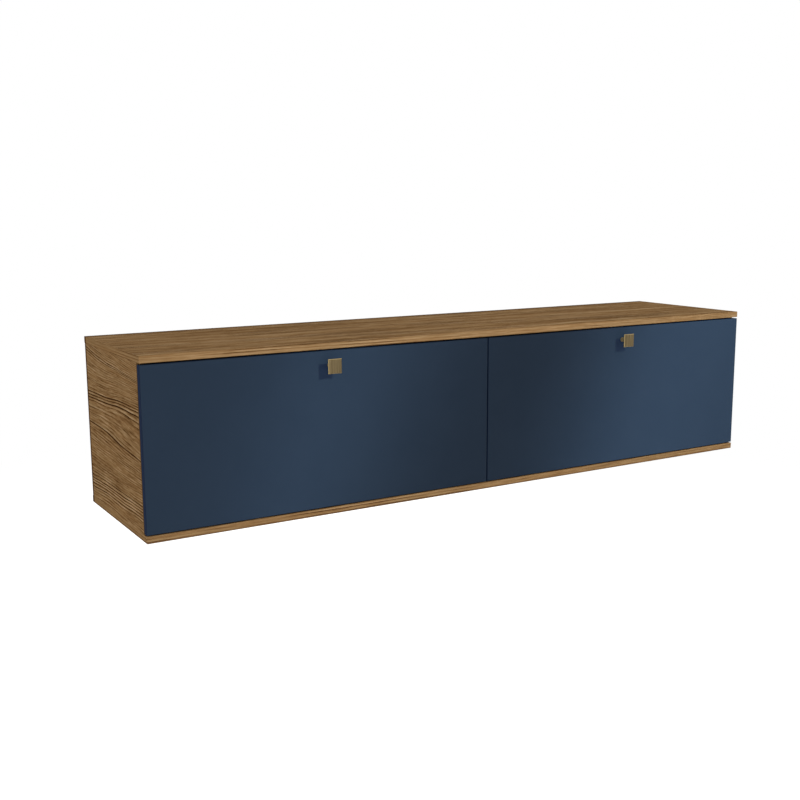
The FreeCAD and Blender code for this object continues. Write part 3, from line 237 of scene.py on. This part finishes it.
def veneer(
    name, along, across, edge_along, seed, drift, wobble, broad, base,
    edge_base=EDGE_BASE, bands=(), lean=(),
):
    """Sliced veneer on a board, with straight-grained bands on its edges, and painted shade along the back
    edge at the wall and along the underside's arris.

    along is the axis of the grain on the broad faces and across their other axis. edge_along names the
    grain's axis on the long edges and then on the ends. drift and wobble are (per metre along, per metre
    across, metres) and bend its lines. broad is the share of wide streaks, base the level of the colour
    and edge_base that of the edges. bands are (place across, half width) of the clusters of dark annual
    lines, and lean is (place across, slope of the lines)."""
    wood = Finish(name)
    face = next(axis for axis in "XYZ" if axis not in (along, across))
    place = wood.axes(wood.place)
    normal = wood.axes(wood.normal)
    edge = wood.math("LESS_THAN", wood.absolute(normal[face]), FACING)
    end = wood.math("GREATER_THAN", wood.absolute(normal[along]), FACING)
    edge_axis, end_axis = edge_along
    edge_run = wood.between(end, place[edge_axis], place[end_axis])
    run = wood.add(wood.between(edge, place[along], edge_run), seed)
    breadth = wood.between(edge, place[across], wood.add(place[face], seed))

    def around(value):
        return wood.add(value, -NOISE_MIDDLE)

    def bend(scales, shift):
        per_along, per_across, reach = scales
        spot = wood.vector(wood.times(run, per_along), wood.times(breadth, per_across), seed + shift)
        return wood.times(around(wood.noise(spot, detail=1.0)), wood.between(edge, reach, reach * EDGE_BEND))

    grain = wood.add(wood.add(breadth, bend(drift, DRIFT_SHIFT)), bend(wobble, WOBBLE_SHIFT))
    if lean:
        stops = [(where / LEAN_REACH, NOISE_MIDDLE + slope) for where, slope in lean]
        slope = around(wood.ramp(wood.times(breadth, 1 / LEAN_REACH), stops, "B_SPLINE"))
        grain = wood.math("MULTIPLY_ADD", slope, wood.times(place[along], -1.0), grain)

    def streaks(kind):
        per_across, per_along, shift, detail = kind
        spot = wood.vector(wood.times(run, per_along), wood.times(grain, per_across), seed + shift)
        return wood.noise(spot, detail=detail, roughness=STREAK_ROUGHNESS)

    def annual_rings():
        phase = wood.add(wood.times(grain, RINGS_PER_METRE), wood.times(streaks(RING_BENDS), RING_BEND))
        ring = wood.math("POWER", wood.math("FRACT", phase), RING_SHARPNESS)
        patches = wood.span(streaks(RING_PATCHES), low=0.5, high=0.66)
        clusters = 0.0
        for middle, half_width in bands:
            away = wood.absolute(wood.add(grain, -middle))
            clusters = wood.larger(clusters, wood.span(away, half_width, half_width * BAND_CORE))
        if bands:
            patches = wood.larger(wood.times(patches, PATCHES_BESIDE_BANDS), clusters)
        strength = wood.span(patches, 0.0, 1.0, to_low=RING_LEAST, smooth=False)
        return wood.times(wood.add(ring, -RING_MEAN), strength)

    fibre = streaks(FIBRE)
    pores = wood.span(streaks(PORES), low=0.62, high=0.72)
    level = wood.add(wood.times(around(streaks(WIDE)), broad), base)
    for kind, share in MIDDLE_LAYERS:
        level = wood.add(level, wood.times(around(streaks(kind)), share))
    level = wood.add(level, wood.times(around(fibre), FIBRE_SHARE))
    level = wood.add(level, wood.times(annual_rings(), RING_SHARE))
    level = wood.add(level, wood.times(pores, PORES_SHARE))
    calm = wood.times(edge, wood.between(end, EDGE_CALM, END_CALM))
    level = wood.between(calm, level, wood.between(end, edge_base, END_BASE))
    warmth = wood.span(streaks(WARM_PATCHES), low=0.35, high=0.65, to_high=WARM_MOST)
    colour = wood.mix(warmth, wood.ramp(level, VENEER_TONES), WARM_TINT, way="MULTIPLY")

    # Painted shade: the boards darken towards the back edge at the wall, and their edges darken along the
    # underside
    ahead = wood.math("LESS_THAN", normal["Y"], FACING)
    wall_shade = wood.times(wood.span(place["Y"], *WALL_SHADE, to_high=WALL_SHADE_SHARE), ahead)
    foot_shade = wood.times(wood.span(place["Z"], *FOOT_SHADE, to_high=FOOT_SHADE_SHARE), edge)
    wood.set("Base Color", wood.mix(wood.larger(wall_shade, foot_shade), colour, ARRIS_SHADE))
    wood.roughen(level, at_low=0.6, at_high=0.48, low=0.2, high=0.9)
    wood.set("Specular IOR Level", 0.0)
    wood.bump(wood.times(wood.add(fibre, level), 0.5), VENEER_RELIEF)
    return wood.material


# Doors, metal and small parts

NAVY = (tone(52, 65, 82), tone(56, 69, 86))
# Painted light: the door's ends in a more saturated blue, as lit from the side
NAVY_LIT_ENDS = tone(37, 52, 82)
ZINC = (tone(150, 152, 156), tone(186, 188, 192))
NICKEL = (tone(176, 172, 164), tone(206, 202, 194))
HARDBOARD = ((0.3, tone(120, 92, 62)), (0.7, tone(147, 117, 83)))
BEECH = ((0.3, tone(168, 130, 92)), (0.7, tone(205, 170, 128)))
CATCH_BROWN = (tone(52, 46, 41), tone(64, 57, 51))
RUBBER_GREY = (tone(178, 178, 176), tone(196, 196, 194))

# Brass: long strokes and fine hairs of the brush, and the stem behind the plate with its dull metal
BRASS = ((0.36, tone(77, 65, 44)), (0.66, tone(134, 118, 87)))
# Painted highlight: a lighter brass on the bevels, the plate's sides and the stem
BRASS_HIGHLIGHT = tone(176, 154, 108)
STROKES = (640.0, 640.0, 14.0)
HAIRS = (3200.0, 3200.0, 60.0)
HAIRS_SHARE = 0.3
STEM_FRONT = -0.4412
STEM_METAL = 0.35


def navy_lacquer():
    """Sprayed satin lacquer with a faint orange peel, and painted light on the door's ends: a more saturated
    blue, as lit from the side.
    """
    lacquer = Finish("navy_lacquer")
    tint = lacquer.mix(lacquer.noise(lacquer.place, detail=3.0, scale=9.0), *NAVY)
    # Painted light: the ends, facing left and right, take the lit blue
    end = lacquer.span(lacquer.absolute(lacquer.axes(lacquer.normal)["X"]), low=0.5, high=0.9)
    sheen = lacquer.noise(lacquer.place, detail=3.0, roughness=0.6, scale=60.0)
    lacquer.set("Base Color", lacquer.mix(end, tint, NAVY_LIT_ENDS))
    lacquer.roughen(sheen, at_low=0.3, at_high=0.38, low=0.2, high=0.8)
    lacquer.set("Specular IOR Level", 0.002)
    lacquer.bump(lacquer.noise(lacquer.place, detail=2.0, scale=450.0), depth=0.000012)
    return lacquer.material


def brushed_brass():
    """Dark satin brass, brushed up and down, with a painted highlight on its bevels, sides and stem, and a
    stem of duller metal.
    """
    brass = Finish("brushed_brass")
    strokes = brass.noise(brass.stretch(brass.place, STROKES), detail=3.0, roughness=0.6)
    hairs = brass.noise(brass.stretch(brass.place, HAIRS), detail=2.0, roughness=0.6)
    level = brass.add(brass.times(strokes, 1 - HAIRS_SHARE), brass.times(hairs, HAIRS_SHARE))
    # Painted highlight: lighter brass wherever the surface does not face front or back
    brass_highlight = brass.span(brass.absolute(brass.axes(brass.normal)["Y"]), low=0.95, high=0.8)
    stem = brass.math("GREATER_THAN", brass.axes(brass.place)["Y"], STEM_FRONT)
    brass.set("Base Color", brass.mix(brass_highlight, brass.ramp(level, BRASS), BRASS_HIGHLIGHT))
    brass.set("Metallic", brass.between(stem, 1.0, STEM_METAL))
    brass.roughen(level, at_low=0.42, at_high=0.3)
    brass.bump(level, depth=0.00003)
    return brass.material


def plated_steel(name, tones, roughness):
    """Barrel-plated steel with a slight bloom."""
    steel = Finish(name)
    bloom = steel.noise(steel.place, detail=4.0, roughness=0.6, scale=160.0)
    steel.set("Base Color", steel.mix(bloom, *tones))
    steel.set("Metallic", 1.0)
    steel.roughen(bloom, at_low=roughness - 0.05, at_high=roughness + 0.07)
    steel.bump(steel.noise(steel.place, detail=2.0, scale=900.0), depth=0.000015)
    return steel.material


def fibrous(name, tones, stretch, detail, fibre, roughness):
    """Bare wood or board with flecks that are stretched along one axis."""
    wood = Finish(name)
    flecks = wood.noise(wood.stretch(wood.place, stretch), detail=detail, roughness=fibre)
    wood.set("Base Color", wood.ramp(flecks, tones))
    wood.set("Roughness", roughness)
    wood.bump(flecks, depth=0.00008)
    return wood.material


def moulded(name, tones, roughness, grain, depth):
    """Moulded plastic or rubber with a fine texture."""
    plastic = Finish(name)
    speckle = plastic.noise(plastic.place, detail=3.0, roughness=0.6, scale=grain)
    plastic.set("Base Color", plastic.mix(speckle, *tones))
    plastic.roughen(speckle, at_low=roughness - 0.05, at_high=roughness + 0.05)
    plastic.bump(speckle, depth)
    return plastic.material


def dress(finish, *nodes):
    """Gives CAD nodes a finish in all their material slots."""
    for node in nodes:
        for slot in frame["nodes"][node].material_slots:
            slot.material = finish


slot_nodes = {}
for subpart in frame["record"]["subparts"]:
    slot_nodes.setdefault(subpart["material_slot"], []).append(subpart["node"])

finishes = {
    "navy_lacquer": navy_lacquer(),
    "brushed_brass": brushed_brass(),
    "hardboard": fibrous(
        "hardboard", HARDBOARD, (160.0, 160.0, 90.0), detail=5.0, fibre=0.65, roughness=0.7
    ),
    "beech": fibrous("beech", BEECH, (900.0, 900.0, 220.0), detail=3.0, fibre=0.6, roughness=0.6),
    "zinc_plated_steel": plated_steel("zinc_plated_steel", ZINC, roughness=0.36),
    "nickel_plated_steel": plated_steel("nickel_plated_steel", NICKEL, roughness=0.24),
    "catch_plastic": moulded("catch_plastic", CATCH_BROWN, roughness=0.45, grain=700.0, depth=0.00003),
    "bumper_rubber": moulded("bumper_rubber", RUBBER_GREY, roughness=0.4, grain=300.0, depth=0.00002),
}
for slot_name, finish in finishes.items():
    dress(finish, *slot_nodes[slot_name])


# Boards in veneer, each with its own piece of the grain

LENGTHWISE = {
    "along": "X", "across": "Y", "edge_along": "XY",
    "drift": (0.9, 2.2, 0.07), "wobble": (3.0, 9.0, 0.012),
}
SIDE_LEAN = (
    (0.0, 0.03), (0.08, 0.0), (0.14, 0.05), (0.18, 0.1), (0.22, 0.06), (0.26, 0.0), (0.29, -0.04),
    (0.32, 0.0), (0.35, 0.06), (0.39, 0.15),
)
UPRIGHT = {
    "along": "Y", "across": "Z", "edge_along": "ZZ", "broad": 0.4, "base": 0.575,
    "drift": (2.6, 3.4, 0.03), "wobble": (9.0, 14.0, 0.006), "lean": SIDE_LEAN,
}
RAIL = {
    "along": "X", "across": "Z", "edge_along": "XZ", "broad": 0.4, "base": 0.63,
    "drift": (1.0, 3.0, 0.03), "wobble": (3.0, 9.0, 0.01),
}
LEFT_BANDS = ((0.273, 0.017), (0.067, 0.028), (0.21, 0.006), (0.385, 0.012))
RIGHT_BANDS = ((0.3, 0.03), (0.15, 0.02))

top = veneer("veneer_top", seed=3.1, base=0.613, edge_base=0.75, broad=0.8, **LENGTHWISE)
bottom = veneer("veneer_bottom", seed=7.2, base=0.61, edge_base=0.545, broad=0.15, **LENGTHWISE)
dress(top, "top_panel")
dress(bottom, "bottom_panel")
dress(veneer("veneer_left", seed=9.0, bands=LEFT_BANDS, **UPRIGHT), "left_side_panel")
dress(veneer("veneer_right", seed=13.0, bands=RIGHT_BANDS, **UPRIGHT), "right_side_panel")
dress(veneer("veneer_divider", seed=17.0, bands=RIGHT_BANDS, **UPRIGHT), "centre_divider")
dress(veneer("veneer_rail", seed=21.0, **RAIL), "left_hanging_rail", "right_hanging_rail")


# Floor and room

FLOOR_HEIGHT = -1.0
FLOOR_REACH = 14.0
FLOOR_TONE = (0.86, 0.86, 0.86, 1.0)
FLOOR_LIFT = 0.72
FADE_START = 2.2
FADE_END = 5.0
ROOM_LIGHT = 0.36
WHITE = 1.0


def floor():
    """A plain pale floor well below the hung cabinet. It keeps the soft shadow and fades into the white."""
    mesh = bpy.data.meshes.new("floor")
    signs = ((-1, -1), (1, -1), (1, 1), (-1, 1))
    corners = [(x * FLOOR_REACH, y * FLOOR_REACH, FLOOR_HEIGHT) for x, y in signs]
    mesh.from_pydata(corners, [], [(0, 1, 2, 3)])
    plane = bpy.data.objects.new("floor", mesh)
    bpy.context.collection.objects.link(plane)
    plane.visible_glossy = False
    material = blank_material("floor")
    paint = Graph(material.node_tree)

    def share(factor, first, second):
        return paint.node("MixShader", {0: factor, 1: first, 2: second}).outputs[0]

    matte = paint.node("BsdfDiffuse", {"Color": FLOOR_TONE}).outputs[0]
    lift = paint.node("Emission", {"Strength": FLOOR_LIFT}).outputs[0]
    white = paint.node("Emission", {"Strength": WHITE}).outputs[0]
    clear = paint.node("BsdfTransparent").outputs[0]
    seen = paint.node("LightPath").outputs["Is Camera Ray"]
    place = paint.node("TexCoord").outputs["Object"]
    distance = paint.node("VectorMath", {0: place}, operation="LENGTH").outputs["Value"]
    lifted = paint.node("AddShader", {0: matte, 1: lift}).outputs[0]
    far = paint.times(seen, paint.span(distance, FADE_START, FADE_END))
    under = paint.times(seen, paint.node("NewGeometry").outputs["Backfacing"])
    surface = share(under, share(far, share(seen, matte, lifted), white), clear)
    paint.node("OutputMaterial", {"Surface": surface})
    mesh.materials.append(material)


def room():
    """White to the camera, to metal and to glass, and a plain level of light on everything else."""
    world = bpy.data.worlds.new("room")
    world.use_nodes = True
    bpy.context.scene.world = world
    air = Graph(world.node_tree)
    path = air.node("LightPath").outputs
    mirrored = air.larger(path["Is Glossy Ray"], path["Is Transmission Ray"])
    strength = air.between(air.larger(path["Is Camera Ray"], mirrored), ROOM_LIGHT, WHITE)
    sky = air.node("Background", {"Color": (1.0, 1.0, 1.0, 1.0), "Strength": strength}).outputs[0]
    air.node("OutputWorld", {"Surface": sky})


# Lamps on everything but the doors: name, place, size, power

KEY_PLACE = (1.77, -5.9, 3.4)
KEY_SIZE = 0.3
LAMPS = (
    ("key", KEY_PLACE, KEY_SIZE, 205.0),
    ("fill", (-4.6, -1.2, 1.6), 2.2, 36.0),
    ("back", (1.6, 5.2, 0.35), 2.0, 80.0),
)
LIGHT_AIM = (0.0, -0.3, 0.2)


def stand(name, light, place):
    """Stands a new light in the scene."""
    body = bpy.data.objects.new(name, light)
    body.location = place
    bpy.context.collection.objects.link(body)
    return body


def lamp(name, place, size, power, lit):
    """A square soft lamp, turned to the cabinet."""
    light = bpy.data.lights.new(name, "AREA")
    light.energy = power
    light.size = size
    body = stand(name, light, place)
    body.rotation_euler = (Vector(LIGHT_AIM) - Vector(place)).to_track_quat("-Z", "Y").to_euler()
    body.visible_camera = False
    body.light_linking.receiver_collection = lit


# Key light on the doors: a lamp with soft shades in front, which leave slanting bands of light.
# A share of it casts no shadow and is bluer, so the knobs' shadows stay soft and blue.

DOOR_KEY_POWER = 1425.0
DOOR_KEY_COLOUR = (0.877, 0.969, 0.717)
SHADOWLESS_COLOUR = (0.42, 0.74, 1.66)
SHADOWLESS_SHARE = 0.3

# The bands' plane, slant, middle height and ends, and then (place across at the middle height, level)
DOOR_PLANE = -0.416
BAND_LEAN = 0.35
BAND_MIDDLE = 0.2
BAND_FROM = -1.0
BAND_TO = 1.0
BANDS = (
    (-0.72, 0.33), (-0.61, 0.58), (-0.49, 0.92), (-0.37, 0.6), (-0.25, 0.3), (-0.12, 0.1), (0.0, 0.0),
    (0.12, 0.0), (0.23, 0.18), (0.35, 0.48), (0.5, 0.97), (0.6, 1.0), (0.8, 0.95), (0.95, 0.78),
)


def door_key(name, lit, share, colour, shadows):
    """A share of the key light, shaded by where each ray meets the plane of the doors."""
    light = bpy.data.lights.new(name, "POINT")
    light.energy = DOOR_KEY_POWER * share
    light.use_shadow = shadows
    light.color = colour
    light.shadow_soft_size = KEY_SIZE / 2
    light.use_nodes = True
    body = stand(name, light, KEY_PLACE)
    body.visible_glossy = False
    body.light_linking.receiver_collection = lit
    key_across, key_ahead, key_height = KEY_PLACE
    shade = Graph(light.node_tree)
    beam = shade.axes(shade.node("NewGeometry").outputs["Normal"])
    reach = DOOR_PLANE - key_ahead
    spread = shade.math("DIVIDE", beam["X"], beam["Y"])
    drop = shade.math("DIVIDE", beam["Z"], beam["Y"])
    across = shade.math("MULTIPLY_ADD", spread, reach, key_across)
    height = shade.math("MULTIPLY_ADD", drop, reach, key_height - BAND_MIDDLE)
    slanted = shade.math("MULTIPLY_ADD", height, -BAND_LEAN, across)
    stops = [((place - BAND_FROM) / (BAND_TO - BAND_FROM), level) for place, level in BANDS]
    profile = shade.ramp(shade.span(slanted, BAND_FROM, BAND_TO, smooth=False), stops)
    shine = shade.node("Emission", {"Strength": profile})
    shade.node("OutputLight", {"Surface": shine.outputs[0]})


def collect_doors():
    """The doors as lit by their own lamps."""
    doors = bpy.data.collections.new("doors")
    for door in ("left_door", "right_door"):
        doors.objects.link(frame["nodes"][door])
    return doors


def without(doors):
    """The same collection, for a lamp that lights everything else."""
    others = bpy.data.collections.new("others")
    for door in doors.objects:
        others.objects.link(door)
    for member in others.collection_objects:
        member.light_linking.link_state = "EXCLUDE"
    return others


# Camera, from the fit to the cabinet's corners in the photograph

CAMERA_PLACE = (-1.619435, -2.697847, 0.733010)
CAMERA_TURN = 32.2321
CAMERA_DIP = 10.1568
CAMERA_LENS = 49.951
SENSOR = 36.0
CAMERA_SHIFT = -0.03492
NEAREST = 0.01


def camera():
    lens = bpy.data.cameras.new("camera")
    lens.sensor_width = SENSOR
    lens.lens = CAMERA_LENS
    lens.shift_x = CAMERA_SHIFT
    lens.clip_start = NEAREST
    eye = bpy.data.objects.new("camera", lens)
    eye.location = CAMERA_PLACE
    eye.rotation_euler = (math.radians(90.0 - CAMERA_DIP), 0.0, math.radians(-CAMERA_TURN))
    bpy.context.collection.objects.link(eye)
    bpy.context.scene.camera = eye


floor()
room()
doors = collect_doors()
others = without(doors)
for name, place, size, power in LAMPS:
    lamp(name, place, size, power, others)
door_key("door_key", doors, 1 - SHADOWLESS_SHARE, DOOR_KEY_COLOUR, shadows=True)
door_key("door_key_soft", doors, SHADOWLESS_SHARE, SHADOWLESS_COLOUR, shadows=False)
camera()
bpy.context.scene.view_settings.view_transform = "Standard"
